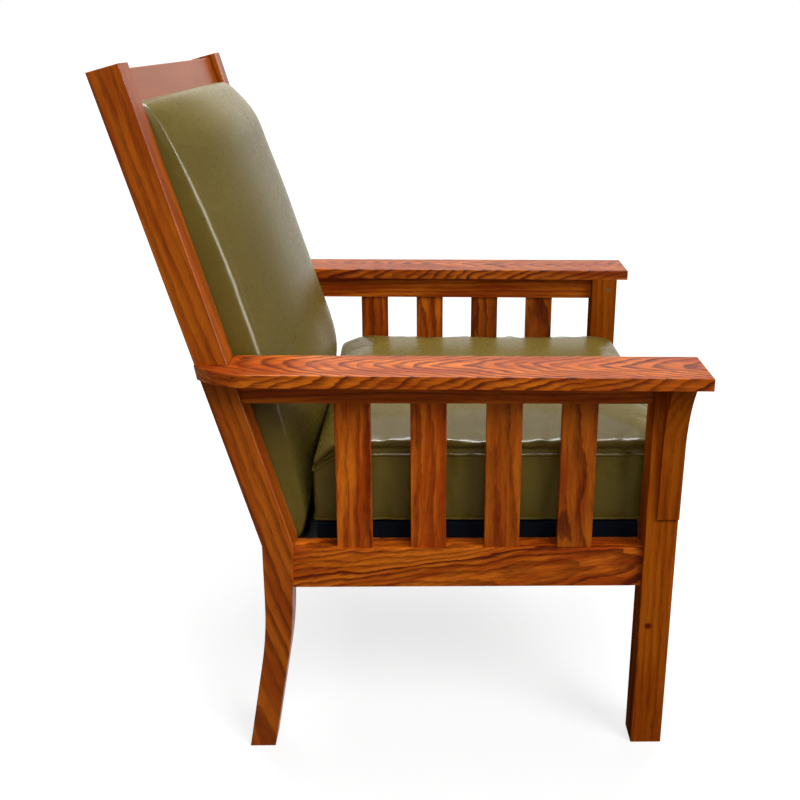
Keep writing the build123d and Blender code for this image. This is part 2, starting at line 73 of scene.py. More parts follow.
looking = Vector((cos(camera_turn) * cos(camera_tilt), -sin(camera_turn) * cos(camera_tilt),
                  -sin(camera_tilt)))
camera_data = bpy.data.cameras.new("camera")
camera_data.sensor_width = 36
camera_data.lens = camera_lens
camera_data.shift_x = camera_shift
camera = bpy.data.objects.new("camera", camera_data)
camera.rotation_mode = "QUATERNION"
camera.location = camera_place
camera.rotation_quaternion = (looking.to_track_quat("-Z", "Y")
                              @ Quaternion((0, 0, 1), camera_lean))
bpy.context.scene.collection.objects.link(camera)
bpy.context.scene.camera = camera
bpy.context.scene.view_settings.view_transform = "Standard"
print("camera at", tuple(round(c, 3) for c in camera.location))


# %% [markdown]
# Every finish below is a small tree of nodes. These helpers make one node each, set what is a number and
# link what is a socket, so that a tree reads as a list of sums from its top to its bottom.

# %% Node helpers
def put(tree, socket, value):
    """Links a socket to another socket, or sets it to a number, colour or vector"""
    if isinstance(value, bpy.types.NodeSocket):
        tree.links.new(value, socket)
    else:
        socket.default_value = value


def add(tree, kind, inputs=(), **settings):
    """Adds a node, sets what it is told and fills its inputs by name or number"""
    made = tree.nodes.new(kind)
    for setting, value in settings.items():
        setattr(made, setting, value)
    for socket, value in dict(inputs).items():
        put(tree, made.inputs[socket], value)
    return made


def sums(tree, operation, *values, clamp=False):
    """One Math node"""
    made = add(tree, "ShaderNodeMath", enumerate(values), operation=operation, use_clamp=clamp)
    return made.outputs[0]


def stretch(tree, vector, across, along):
    """Squeezes a pattern across the grain and draws it out along it"""
    made = add(tree, "ShaderNodeVectorMath", {0: vector, 1: (across, across, along)},
               operation="MULTIPLY")
    return made.outputs[0]


def cloud(tree, vector, detail=2.0, roughness=0.5):
    """A Noise texture, whose size is set by its vector"""
    return add(tree, "ShaderNodeTexNoise",
               {"Vector": vector, "Scale": 1.0, "Detail": detail, "Roughness": roughness})


def ramp(tree, value, low, high, to_low=0.0, to_high=1.0):
    """A smooth step between two values"""
    made = add(tree, "ShaderNodeMapRange",
               {"Value": value, "From Min": low, "From Max": high, "To Min": to_low,
                "To Max": to_high}, interpolation_type="SMOOTHSTEP")
    return made.outputs["Result"]


def blended(tree, share, first, second):
    """One Mix node for colours"""
    made = add(tree, "ShaderNodeMix", data_type="RGBA")
    put(tree, made.inputs["Factor"], share)
    put(tree, made.inputs[6], first)
    put(tree, made.inputs[7], second)
    return made.outputs[2]


def effect(name, inputs, outputs):
    """An empty node group with named sockets, and its two ends"""
    group = bpy.data.node_groups.new(name, "ShaderNodeTree")
    for socket, (kind, value) in inputs.items():
        made = group.interface.new_socket(socket, in_out="INPUT", socket_type="NodeSocket" + kind)
        if value is not None:
            made.default_value = value
    for socket, kind in outputs.items():
        group.interface.new_socket(socket, in_out="OUTPUT", socket_type="NodeSocket" + kind)
    return group, group.nodes.new("NodeGroupInput"), group.nodes.new("NodeGroupOutput")


def place_effect(tree, group, inputs):
    """Puts an effect into a material with this material's own values"""
    made = tree.nodes.new("ShaderNodeGroup")
    made.node_tree = group
    for socket, value in inputs.items():
        put(tree, made.inputs[socket], value)
    return made


def new_finish(name):
    """An empty material, its tree, its Principled shader and its Object coordinates"""
    material = bpy.data.materials.new(name)
    material.use_nodes = True
    tree = material.node_tree
    shader = tree.nodes["Principled BSDF"]
    where = tree.nodes.new("ShaderNodeTexCoord").outputs["Object"]
    return material, tree, shader, where


def emboss(tree, shader, height, strength, depth):
    """Turns a height into bumps of up to a depth in metres"""
    bump = add(tree, "ShaderNodeBump", {"Height": height, "Strength": strength, "Distance": depth})
    put(tree, shader.inputs["Normal"], bump.outputs[0])


def give_finish(node, material):
    """Puts a finish on a CAD node in place of its plain one"""
    nodes[node].data.materials.clear()
    nodes[node].data.materials.append(material)


# %% [markdown]
# Oak shows its growth rings. Where a flat-sawn board cuts them at a slant they make nested arches, and
# where it cuts them square they make straight lines. A picture of wood would show neither at a board's
# end, so the rings are worked out in space: a distance from the tree's heart, bent by slow noise, cut
# into rings. Stain gathers in the open pores at the start of each ring, so a ring has one sharp dark
# side and one that fades. The pores themselves are short fine dashes along the grain. The pairs below
# say how many cells of noise a metre of wood has, across the grain and along it.

# %% Oak grain
slow_cells, ripple_cells, dash_cells = (7.0, 2.2), (42.0, 14.0), (620.0, 45.0)
patch_cells, streak_cells = (26.0, 4.5), (120.0, 7.0)
stain_rise, stain_fall = (0.25, 0.85), (0.90, 1.0)
palest_ring = 0.4
pore_range, pore_between_rings = (0.50, 0.64), 0.40
tone_range, patch_share = (0.38, 0.62), 0.60
ring_groove = 0.35

oak_grain, grain_in, grain_out = effect(
    "oak grain",
    {"Vector": ("Vector", None), "Ring spacing": ("Float", 0.006), "Heart across": ("Float", 0.0),
     "Heart below": ("Float", 0.05), "Slant": ("Float", 0.03), "Wander": ("Float", 0.02),
     "Ripple": ("Float", 0.008)},
    {"Ring": "Float", "Pore": "Float", "Tone": "Float", "Height": "Float"})
board = grain_in.outputs["Vector"]
slow = cloud(oak_grain, stretch(oak_grain, board, *slow_cells), detail=1.0)
slow_shift = add(oak_grain, "ShaderNodeVectorMath", {0: slow.outputs["Color"], 1: (0.5, 0.5, 0.5)},
                 operation="SUBTRACT").outputs[0]
slow_bend = add(oak_grain, "ShaderNodeVectorMath",
                {0: slow_shift, "Scale": grain_in.outputs["Wander"]}, operation="SCALE").outputs[0]
bent = add(oak_grain, "ShaderNodeVectorMath", {0: board, 1: slow_bend}, operation="ADD").outputs[0]
bent_parts = add(oak_grain, "ShaderNodeSeparateXYZ", {0: bent})
from_heart_across = sums(oak_grain, "SUBTRACT", bent_parts.outputs["X"],
                         grain_in.outputs["Heart across"])
from_heart_below = sums(oak_grain, "SUBTRACT", bent_parts.outputs["Y"],
                        grain_in.outputs["Heart below"])
radius_squared = sums(oak_grain, "ADD", sums(oak_grain, "POWER", from_heart_across, 2.0),
                      sums(oak_grain, "POWER", from_heart_below, 2.0))
radius = sums(oak_grain, "SQRT", radius_squared)
leaning = sums(oak_grain, "MULTIPLY", bent_parts.outputs["Z"], grain_in.outputs["Slant"])
ripple = cloud(oak_grain, stretch(oak_grain, board, *ripple_cells), detail=3.0)
rippled = sums(oak_grain, "MULTIPLY", sums(oak_grain, "SUBTRACT", ripple.outputs["Fac"], 0.5),
               grain_in.outputs["Ripple"])
reach = sums(oak_grain, "ADD", sums(oak_grain, "ADD", radius, leaning), rippled)
ring_count = sums(oak_grain, "DIVIDE", reach, grain_in.outputs["Ring spacing"])
ring_age = sums(oak_grain, "FRACT", ring_count)
ring_year = add(oak_grain, "ShaderNodeTexWhiteNoise", {"W": sums(oak_grain, "FLOOR", ring_count)},
                noise_dimensions="1D").outputs["Value"]
ring_rise = ramp(oak_grain, ring_age, *stain_rise)
ring_fall = ramp(oak_grain, ring_age, *stain_fall, 1.0, 0.0)
ring_line = sums(oak_grain, "MULTIPLY", ring_rise, ring_fall)
ring_depth = sums(oak_grain, "MULTIPLY_ADD", ring_year, 1 - palest_ring, palest_ring)
ring = sums(oak_grain, "MULTIPLY", ring_line, ring_depth)
dashes = cloud(oak_grain, stretch(oak_grain, bent, *dash_cells), detail=2.0)
dash = ramp(oak_grain, dashes.outputs["Fac"], *pore_range)
pore = sums(oak_grain, "MULTIPLY", dash,
            sums(oak_grain, "MULTIPLY_ADD", ring, 1 - pore_between_rings, pore_between_rings))
patches = cloud(oak_grain, stretch(oak_grain, bent, *patch_cells), detail=3.0)
streaks = cloud(oak_grain, stretch(oak_grain, bent, *streak_cells), detail=3.0, roughness=0.6)
tone = sums(oak_grain, "ADD", sums(oak_grain, "MULTIPLY", patches.outputs["Fac"], patch_share),
            sums(oak_grain, "MULTIPLY", streaks.outputs["Fac"], 1 - patch_share))
height = sums(oak_grain, "SUBTRACT", 1.0, sums(oak_grain, "MULTIPLY_ADD", ring, ring_groove, pore))
for socket, value in (("Ring", ring), ("Pore", pore), ("Height", height),
                      ("Tone", ramp(oak_grain, tone, *tone_range))):
    put(oak_grain, grain_out.inputs[socket], value)
print(f"oak grain: {len(oak_grain.nodes)} nodes")

# %% [markdown]
# Each board came from another place in the tree, so each has its own middle, its own heart and its own
# turn. A Mapping node carries the board's middle to nought and turns the board until its grain lies
# along Z, which is the way that the grain effect reads it, and then moves it on to a tree of its own.
# The frame tells how far the back leans, because the back cushion slides along it.

# %% A board's own space
back_slide = next(joint["axis"] for joint in frame["joints"] if joint["name"] == "back_cushion_slide")
rake = atan2(back_slide[1], back_slide[2])
grain_turns = {
    "x": (0, -pi / 2, 0),
    "y": (pi / 2, 0, 0),
    "z": (0, 0, 0),
    "rake": (rake, 0, 0),
}


def along_grain(tree, where, node, grain, lean=0.0, onward=0.0):
    """A board's own space: nought at its middle, Z along its grain, moved on to its own tree"""
    low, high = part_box(node)
    turn = Euler(grain_turns[grain])
    turn.x += lean
    place = -(turn.to_matrix() @ ((low + high) / 2)) + Vector((0, 0, onward))
    mapped = add(tree, "ShaderNodeMapping", {"Vector": where, "Rotation": turn, "Location": place})
    return mapped.outputs[0]


print(f"the back leans by {degrees(rake):.1f} degrees")

# %% [markdown]
# A board's finish is a light and a deep stain, mixed by the grain's slow tone, with the ring lines drawn
# over them and the pores set in last. The varnish is a little rougher in the pores. The front leg nearer
# the camera has a small knot on its outer face, and the frame tells where that face is.

# %% Stained oak
oak_light = (0.80, 0.188, 0.010)
oak_deep = (0.43, 0.064, 0.003)
oak_line = (0.12, 0.012, 0.001)
oak_pore = (0.08, 0.008, 0.001)
next_tree = 2.63
middle_tone = 0.55
pore_share = 0.75
varnish_roughness, pore_roughness = 0.30, 0.3
oak_relief, wood_depth = 0.35, 0.0004
knot_from_front, knot_height = 0.0328, 0.2043
knot_leg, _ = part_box("front_leg_right")
knot_place = (knot_leg.x, knot_leg.y + knot_from_front, knot_height)
knot_size, knot_core, knot_darkness = 0.0074, 0.4, 0.9


def oak_board(node, grain, heart, spacing=0.006, slant=0.03, wander=0.02, ripple=0.008, lean=0.0,
              rings=0.6, blotch=1.0, stain=1.0, gloss=0.05, knot=None):
    """Stained, varnished oak for one board, with its grain along an axis or the rake"""
    material, tree, shader, where = new_finish("oak " + node.replace("_", " "))
    onward = next_tree * sorted(nodes).index(node)
    figure = place_effect(tree, oak_grain, {
        "Vector": along_grain(tree, where, node, grain, lean, onward), "Ring spacing": spacing,
        "Heart across": heart[0], "Heart below": heart[1], "Slant": slant, "Wander": wander,
        "Ripple": ripple})
    light, deep, line, pore = ((*(share * stain for share in shade), 1)
                               for shade in (oak_light, oak_deep, oak_line, oak_pore))
    tone = sums(tree, "MULTIPLY_ADD", figure.outputs["Tone"], blotch, (1 - blotch) * middle_tone)
    stained = blended(tree, tone, deep, light)
    ringed = blended(tree, sums(tree, "MULTIPLY", figure.outputs["Ring"], rings), stained, line)
    pored = sums(tree, "MULTIPLY", figure.outputs["Pore"], pore_share * rings)
    colour = blended(tree, pored, ringed, pore)
    if knot:
        far = add(tree, "ShaderNodeVectorMath", {0: where, 1: knot}, operation="DISTANCE")
        dark = ramp(tree, far.outputs["Value"], knot_size * knot_core, knot_size, knot_darkness,
                    0.0)
        colour = blended(tree, dark, colour, line)
    put(tree, shader.inputs["Base Color"], colour)
    put(tree, shader.inputs["Roughness"],
        sums(tree, "MULTIPLY_ADD", pored, pore_roughness, varnish_roughness))
    emboss(tree, shader, figure.outputs["Height"], oak_relief * rings, wood_depth)
    shader.inputs["Specular IOR Level"].default_value = gloss
    give_finish(node, material)
    return node


# %% [markdown]
# The arms and side rails have wide arches, and the posts, legs and slats straighter lines. No two boards
# take stain alike, so each has a share of the stain's colour. The left-hand side, away from the camera,
# is stained darker as painted shade, for the light that falls off across the chair towards it. A board's
# heart is given as the way from its middle to the middle of the tree, across and below.

# %% Oak boards
arm_wood = dict(spacing=0.0072, slant=0.22, wander=0.060, ripple=0.014, rings=1.0, gloss=0.042)
post_wood = dict(spacing=0.0150, slant=0.03, wander=0.030, ripple=0.012, rings=0.60, blotch=0.70,
                 gloss=0.05)
leg_wood = dict(spacing=0.0100, slant=0.015, wander=0.020, ripple=0.010, rings=0.40, blotch=0.7,
                gloss=0.0)
rail_wood = dict(spacing=0.0088, slant=-0.12, wander=0.080, ripple=0.020, rings=1.0, lean=0.20,
                 gloss=0.04)
upper_wood = dict(spacing=0.0080, slant=0.02, wander=0.020, rings=0.6, gloss=0.04)
slat_wood = dict(spacing=0.0140, slant=0.02, wander=0.050, ripple=0.022, rings=0.78, gloss=0.04)
crest_wood = dict(spacing=0.0060, slant=0.01, wander=0.014, rings=0.05, blotch=0.25, gloss=0.055)

# The lower left-hand share is painted shade for the far side, which gets less light than the near one.
left_stain_painted_shade, right_stain, back_stain, crest_stain = 0.64, 0.81, 0.75, 0.43
arm_share, post_share, leg_share, corbel_share = 0.95, 0.74, 0.68, 0.61
slat_shares = (0.72, 0.76, 1.08, 1.0)
boards = []
for side, inward, stain in (("left", -1, left_stain_painted_shade), ("right", 1, right_stain)):
    boards += [
        oak_board(f"arm_{side}", "y", (0.010, 0.030), stain=stain * arm_share, **arm_wood),
        oak_board(f"rear_post_{side}", "rake", (-0.040 * inward, 0.070),
                  stain=stain * post_share, **post_wood),
        oak_board(f"front_leg_{side}", "z", (-0.050 * inward, 0.140), stain=stain * leg_share,
                  knot=knot_place if side == "right" else None, **leg_wood),
        oak_board(f"corbel_{side}", "z", (-0.045 * inward, 0.060), stain=stain * corbel_share,
                  **leg_wood),
        oak_board(f"seat_side_rail_{side}", "y", (-0.045 * inward, 0.045), stain=stain,
                  **rail_wood),
        oak_board(f"upper_side_rail_{side}", "y", (-0.040 * inward, 0.110), stain=stain,
                  **upper_wood),
    ]
    for count, slat_share in enumerate(slat_shares, 1):
        boards.append(oak_board(f"side_slat_{count}_{side}", "z", (-0.045 * inward, 0.016 * count),
                                stain=stain * slat_share, **slat_wood))
boards += [
    oak_board("crest_rail", "x", (0.200, 0.060), stain=crest_stain, **crest_wood),
    oak_board("lower_back_rail", "x", (0.120, 0.060), stain=back_stain, **upper_wood),
    oak_board("front_seat_rail", "x", (0.015, 0.050), stain=back_stain, **rail_wood),
    oak_board("rear_seat_rail", "x", (0.015, 0.060), stain=back_stain, **rail_wood),
]
back_slats = sorted(node for node in nodes if node.startswith("back_slat"))
for count, slat in enumerate(back_slats, 1):
    boards.append(oak_board(slat, "rake", (0.02 * count - 0.05, 0.060), stain=back_stain,
                            **slat_wood))
print(f"{len(boards)} oak boards")

# %% [markdown]
# The parts that hold the deck are hidden, and a maker uses plain pale softwood for them. It is the same
# grain effect with closer, paler rings, no stain and no varnish. The ledgers and blocks lie in the
# narrow gap behind the cushions, where they would be in deep shade, so a thin black is painted over them
# as painted shade, through which some grain shows.

# %% Inner wood
softwood_pale = (0.56, 0.40, 0.23, 1)
softwood_warm = (0.47, 0.30, 0.14, 1)
softwood_ring = (0.33, 0.17, 0.06, 1)
# Black painted over the ledgers and blocks, as painted shade for the dark gap behind the cushions
painted_shade_black = (0.006, 0.006, 0.009, 1)
softwood_ring_share, softwood_relief = 0.6, 0.3
painted_shade_on_rings = -0.02
softwood_roughness, ring_roughness = 0.68, -0.1
softwood_gloss = 0.1


def softwood_board(node, grain, painted_shade_share):
    """Softwood for a part that holds the deck, bare or under a share of black painted in for shade"""
    material, tree, shader, where = new_finish("softwood " + node.replace("_", " "))
    figure = place_effect(tree, oak_grain, {
        "Vector": along_grain(tree, where, node, grain), "Ring spacing": 0.005,
        "Heart across": 0.04, "Heart below": 0.06, "Slant": 0.02, "Wander": 0.015})
    ring = figure.outputs["Ring"]
    toned = blended(tree, figure.outputs["Tone"], softwood_warm, softwood_pale)
    ringed = blended(tree, sums(tree, "MULTIPLY", ring, softwood_ring_share), toned, softwood_ring)
    # Painted shade: the black share, a little thinner on the rings
    painted_shade_mask = sums(tree, "MULTIPLY_ADD", ring, painted_shade_on_rings, painted_shade_share, clamp=True)
    put(tree, shader.inputs["Base Color"], blended(tree, painted_shade_mask, ringed, painted_shade_black))
    put(tree, shader.inputs["Roughness"],
        sums(tree, "MULTIPLY_ADD", ring, ring_roughness, softwood_roughness))
    emboss(tree, shader, figure.outputs["Height"], softwood_relief, wood_depth)
    shader.inputs["Specular IOR Level"].default_value = softwood_gloss
    give_finish(node, material)


softwood = {
    "x": ["front_ledger", "rear_ledger", "deck_front", "deck_back"],
    "y": ["side_ledger_left", "side_ledger_right", "deck_side_left", "deck_side_right"],
    "z": [f"{end}_corner_block_{side}" for end in ("front", "rear") for side in ("left", "right")],
}
for grain, members in softwood.items():
    for member in members:
        # The ledgers and blocks get the full share of painted shade black; the deck frame stays bare.
        softwood_board(member, grain, 0.0 if member.startswith("deck") else 1.0)
print("softwood:", sum(len(members) for members in softwood.values()), "boards")

# %% [markdown]
# The deck is covered with a dark upholstery cloth over webbing. Both are plain weaves, so one effect
# makes over-and-under threads from two sine waves, and each cloth sets its own thread size and colours.

# %% Woven cloth
fuzz_cells = 900.0
fuzz_share, thread_share = 0.8, 0.3
weave_relief, cloth_gloss = 0.5, 0.03
weave, weave_in, weave_out = effect(
    "weave", {"Vector": ("Vector", None), "Thread": ("Float", 0.001)},
    {"Height": "Float", "Fuzz": "Float"})
threads = sums(weave, "DIVIDE", pi, weave_in.outputs["Thread"])
woven = add(weave, "ShaderNodeSeparateXYZ", {0: weave_in.outputs["Vector"]})
thread_x = sums(weave, "SINE", sums(weave, "MULTIPLY", woven.outputs["X"], threads))
thread_y = sums(weave, "SINE", sums(weave, "MULTIPLY", woven.outputs["Y"], threads))
put(weave, weave_out.inputs["Height"],
    sums(weave, "MULTIPLY_ADD", sums(weave, "MULTIPLY", thread_x, thread_y), 0.5, 0.5))
fuzz = cloud(weave, stretch(weave, weave_in.outputs["Vector"], fuzz_cells, fuzz_cells), detail=2.0)
put(weave, weave_out.inputs["Fuzz"], fuzz.outputs["Fac"])


def cloth_finish(name, shade, thread_colour, thread, roughness):
    """A plain woven cloth with its own thread size and two colours"""
    material, tree, shader, where = new_finish(name)
    figure = place_effect(tree, weave, {"Vector": where, "Thread": thread})
    fuzzy = sums(tree, "MULTIPLY_ADD", figure.outputs["Fuzz"], fuzz_share, thread_share)
    worn = sums(tree, "MULTIPLY", figure.outputs["Height"], fuzzy, clamp=True)
    put(tree, shader.inputs["Base Color"], blended(tree, worn, shade, thread_colour))
    put(tree, shader.inputs["Roughness"], roughness)
    emboss(tree, shader, figure.outputs["Height"], weave_relief, thread / 3)
    shader.inputs["Specular IOR Level"].default_value = cloth_gloss
    return material


deck_cloth = cloth_finish("dark deck cloth", shade=(0.003, 0.004, 0.007, 1),
                          thread_colour=(0.008, 0.011, 0.020, 1), thread=0.0009, roughness=0.85)
webbing = cloth_finish("jute webbing", shade=(0.16, 0.10, 0.045, 1),
                       thread_colour=(0.38, 0.27, 0.14, 1), thread=0.0022, roughness=0.9)
for member, cloth in (("deck_cover", deck_cloth), ("long_webbing", webbing),
                      ("cross_webbing", webbing)):
    give_finish(member, cloth)
print("cloth: deck cover and webbing")

# %% [markdown]
# The screws that hold the arms, corbels and ledgers are steel, browned so that their heads are lost in
# the stained wood. Fine turning marks in the colour and the roughness give them away as metal. A cloud
# hardly ever leaves the range from 0.3 to 0.7, so a ramp over that range uses both of its ends.

# %% Screws
cloud_range = (0.3, 0.7)
steel_roughness = (0.5, 0.65)
steel_dark, steel_light = (0.035, 0.012, 0.004, 1), (0.065, 0.024, 0.009, 1)
turning_cells = (900.0, 2500.0)
steel, steel_tree, steel_shader, steel_where = new_finish("browned steel")
marks = cloud(steel_tree, stretch(steel_tree, steel_where, *turning_cells), detail=2.0)
put(steel_tree, steel_shader.inputs["Base Color"],
    blended(steel_tree, marks.outputs["Fac"], steel_dark, steel_light))
put(steel_tree, steel_shader.inputs["Roughness"],
    ramp(steel_tree, marks.outputs["Fac"], *cloud_range, *steel_roughness))
steel_shader.inputs["Metallic"].default_value = 1.0
screw_kinds = ("arm_screws", "corbel_screws", "ledger_screws")
for member in screw_kinds:
    give_finish(member, steel)
print(f"browned steel on {len(screw_kinds)} kinds of screw")

# %% [markdown]
# The leather is an olive hide with a glossy finish. Close to, it has a fine pebbled grain, and from
# further off it has faint cloudy patches where the dye took unevenly. The grain is a bump, because it is
# far finer than any mesh, and the gloss varies a little with it.

# %% Leather
leather_dark = (0.106, 0.076, 0.0115, 1)
leather_mid = (0.120, 0.088, 0.0145, 1)
leather_rub = (0.134, 0.101, 0.019, 1)
pebble_cells, crease_cells, mottle_cells, dye_cells = 420.0, 160.0, 60.0, 9.0
pebble_share = 0.35
rub_range = (0.45, 0.95)
leather_roughness = (0.26, 0.34)
leather_gloss = 0.060
leather_relief, leather_depth = 0.03, 0.0003
leather, hide, hide_shader, hide_where = new_finish("olive leather")
pebbles = add(hide, "ShaderNodeTexVoronoi", {"Vector": hide_where, "Scale": pebble_cells},
              feature="SMOOTH_F1")
creases = cloud(hide, stretch(hide, hide_where, crease_cells, crease_cells), detail=2.0)
dye = cloud(hide, stretch(hide, hide_where, dye_cells, dye_cells), detail=3.0)
mottle = cloud(hide, stretch(hide, hide_where, mottle_cells, mottle_cells), detail=2.0)
dyed = blended(hide, ramp(hide, dye.outputs["Fac"], *cloud_range), leather_dark, leather_mid)
rubbed = blended(hide, ramp(hide, mottle.outputs["Fac"], *rub_range), dyed, leather_rub)
put(hide, hide_shader.inputs["Base Color"], rubbed)
put(hide, hide_shader.inputs["Roughness"],
    ramp(hide, creases.outputs["Fac"], *cloud_range, *leather_roughness))
hide_height = sums(hide, "MULTIPLY_ADD", pebbles.outputs["Distance"], pebble_share,
                   creases.outputs["Fac"])
emboss(hide, hide_shader, hide_height, leather_relief, leather_depth)
hide_shader.inputs["Specular IOR Level"].default_value = leather_gloss
print(f"leather: {len(hide.nodes)} nodes")

# %% [markdown]
# A boxed cushion has a top and a bottom panel and a band between them, sewn together at welts. It is
# modelled as that: a box cut into cells about 8 mm wide, rounded at its edges and bent into the shape of
# the chair, so that the seams are rows of the mesh and stay rows when it is stuffed. Places that are
# less than a tenth of a millimetre or of a row apart count as the same, and an edge counts as running
# along an axis if nine tenths of it does.

# %% A box of cells
touching, nearly_along = 0.1, 0.9


def celled_box(size, cells):
    """A closed box from nought to its size, cut into cells along X, Y and Z"""
    work = bmesh.new()
    bmesh.ops.create_cube(work, size=1.0)
    bmesh.ops.translate(work, verts=work.verts, vec=(0.5, 0.5, 0.5))
    for axis in range(3):
        running = [edge for edge in work.edges
                   if abs((edge.verts[1].co - edge.verts[0].co).normalized()[axis]) > nearly_along]
        bmesh.ops.subdivide_edges(work, edges=running, cuts=cells[axis] - 1, use_grid_fill=True)
    bmesh.ops.scale(work, verts=work.verts, vec=size)
    work.verts.index_update()
    return work


def on_rim(point, size):
    """Whether a point of a box is on one of its four upright sides"""
    return min(point.x, size.x - point.x, point.y, size.y - point.y) < touching


# %% [markdown]
# Two more helpers bend that box. One rounds its edges, less round the foot, where the leather is tight.
# The other reads a table of places and values as a smooth line, so that an outline needs only a few
# pairs of numbers, chosen against the photograph.

# %% Rounded edges and smooth tables
def rounded(point, size, edge, foot_edge):
    """Draws a point of a box in to a rounded edge, which is sharper round its foot"""
    edge = foot_edge + (edge - foot_edge) * min(point.z / size[2] * 2, 1)
    inner = Vector(min(max(point[k], edge), size[k] - edge) for k in range(3))
    outward = point - inner
    return inner + outward.normalized() * min(edge, max(abs(c) for c in outward) or edge)


def along(table, place):
    """A smooth value between the rows of a table of places and values"""
    rows = [table[0], *table, table[-1]]
    for before, start, end, after in zip(rows, rows[1:], rows[2:], rows[3:]):
        if place <= end[0] or end is table[-1]:
            break
    span = end[0] - start[0]
    t = min(max((place - start[0]) / span, 0), 1)
    slope_in = (end[1] - before[1]) / ((end[0] - before[0]) or span) * span
    slope_out = (after[1] - start[1]) / ((after[0] - start[0]) or span) * span
    return ((2 * t ** 3 - 3 * t ** 2 + 1) * start[1] + (t ** 3 - 2 * t ** 2 + t) * slope_in
            + (3 * t ** 2 - 2 * t ** 3) * end[1] + (t ** 3 - t ** 2) * slope_out)


# %% [markdown]
# Stuffing is a short run of cloth with air pressure inside. The seams are held and the panels swell
# between them. The seat's leather is let out a little, so it puckers where it meets a seam. The back's
# is drawn in and stiffer, so it stays taut. The swell is capped, so that a cushion stays in the room
# that it has in the chair.

# %% Stuffing
stuffing_frames, steps_a_frame = 20, 6
leather_weight = 0.4
leather_stretch, leather_shear = 25, 12


def stuff(cushion, held, pressure, slack, cap, stiffness=0.8):
    """Blows up a cushion whose held points stay, and keeps its shape as its mesh

    Slack is the share by which the leather is let out, or below nought drawn in. Cap is the
    furthest that a point may move. Stiffer leather has fewer and wider folds.
    """
    scene = bpy.context.scene
    start = [point.co.copy() for point in cushion.data.vertices]
    sewn = cushion.vertex_groups.new(name="sewn")
    sewn.add(sorted(held), 1.0, "REPLACE")
    cloth = cushion.modifiers.new("stuffing", "CLOTH")
    cloth.settings.quality = steps_a_frame
    cloth.settings.mass = leather_weight
    cloth.settings.tension_stiffness = leather_stretch
    cloth.settings.compression_stiffness = leather_stretch
    cloth.settings.shear_stiffness = leather_shear
    cloth.settings.bending_stiffness = stiffness
    cloth.settings.use_pressure = True
    cloth.settings.uniform_pressure_force = pressure
    cloth.settings.shrink_min = -slack
    cloth.settings.vertex_group_mass = "sewn"
    cloth.settings.effector_weights.gravity = 0
    cloth.collision_settings.use_collision = False
    cloth.point_cache.frame_start, cloth.point_cache.frame_end = 1, stuffing_frames
    for frame_number in range(1, stuffing_frames + 1):
        scene.frame_set(frame_number)
    shaped = cushion.evaluated_get(bpy.context.evaluated_depsgraph_get()).to_mesh()
    ends = [point.co.copy() for point in shaped.vertices]
    cushion.modifiers.remove(cloth)
    scene.frame_set(1)
    moved = 0
    for point, before, after in zip(cushion.data.vertices, start, ends):
        step = after - before
        if step.length > cap:
            step = step.normalized() * cap
        point.co = before + step
        moved = max(moved, step.length)
    print(f"{cushion.name}: swelled by up to {moved / MM:.1f} mm")


# %% [markdown]
# The seat cushion is a boxed cushion, 571 by 524 mm between its seams and 129 mm high at its sides. It
# lies where its CAD solid does, and is smaller all round by the room that welts and swell take. Its top
# panel rolls over the edge and ends in a welt a thumb's width below. At its rear it slopes down, where
# the back cushion presses on it, and its middle is crowned. The far rear corner is pressed less. The
# tucks under the roll belong to the walls, so they fade out beyond the outer eighth of each half, and
# the puckers on the roll beyond the outer twelfth.

# %% Seat cushion
side_room, seat_front_room, seat_rear_room, seat_under_room = 3.5, 2, 1, 0.1
seat_row_heights = [0, 5, 14, 26, 40, 54, 68, 80, 90, 97, 102, 106, 110, 114, 118.5, 124, 129]
seat_seam_row, seat_foot_row = 11, 1
seat_low, seat_high = (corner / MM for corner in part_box("seat_cushion"))
seat_corner = seat_low + Vector((side_room, seat_front_room, seat_under_room))
seat_size = Vector((seat_high.x - seat_low.x - 2 * side_room,
                    seat_high.y - seat_low.y - seat_front_room - seat_rear_room,
                    seat_row_heights[-1]))
seat_cells = (72, 66, len(seat_row_heights) - 1)
seat_edge, seat_foot_edge = 7, 4
seat_side_table = [(0, 0.97), (0.03, 0.99), (0.06, 1.0), (0.5, 1.0), (0.86, 1.0), (0.92, 0.98),
                   (0.96, 0.90), (1.0, 0.74)]
seat_crown_table = [(0, 0.22), (0.05, 0.70), (0.10, 0.86), (0.2, 0.95), (0.5, 1.0), (0.7, 0.98),
                    (0.84, 0.88), (0.93, 0.60), (1.0, 0.10)]
seat_crown = 23
seat_fullness = 2.3
seat_spared, seat_spared_from, seat_spared_to = 0.62, 0.55, 0.90
seat_bulge, seat_bulge_top = 2.0, 0.88
seat_groove, seat_groove_height, seat_groove_width = 7.5, 113.5, 3.8
seat_pucker, seat_pucker_length = 4.5, 20
seat_fold, seat_fold_width, seat_fold_length = 8.0, 24, 150
seat_wall_part, seat_pucker_part = 8, 12
seat_front_share, seat_rear_share = 0.02, 0.5


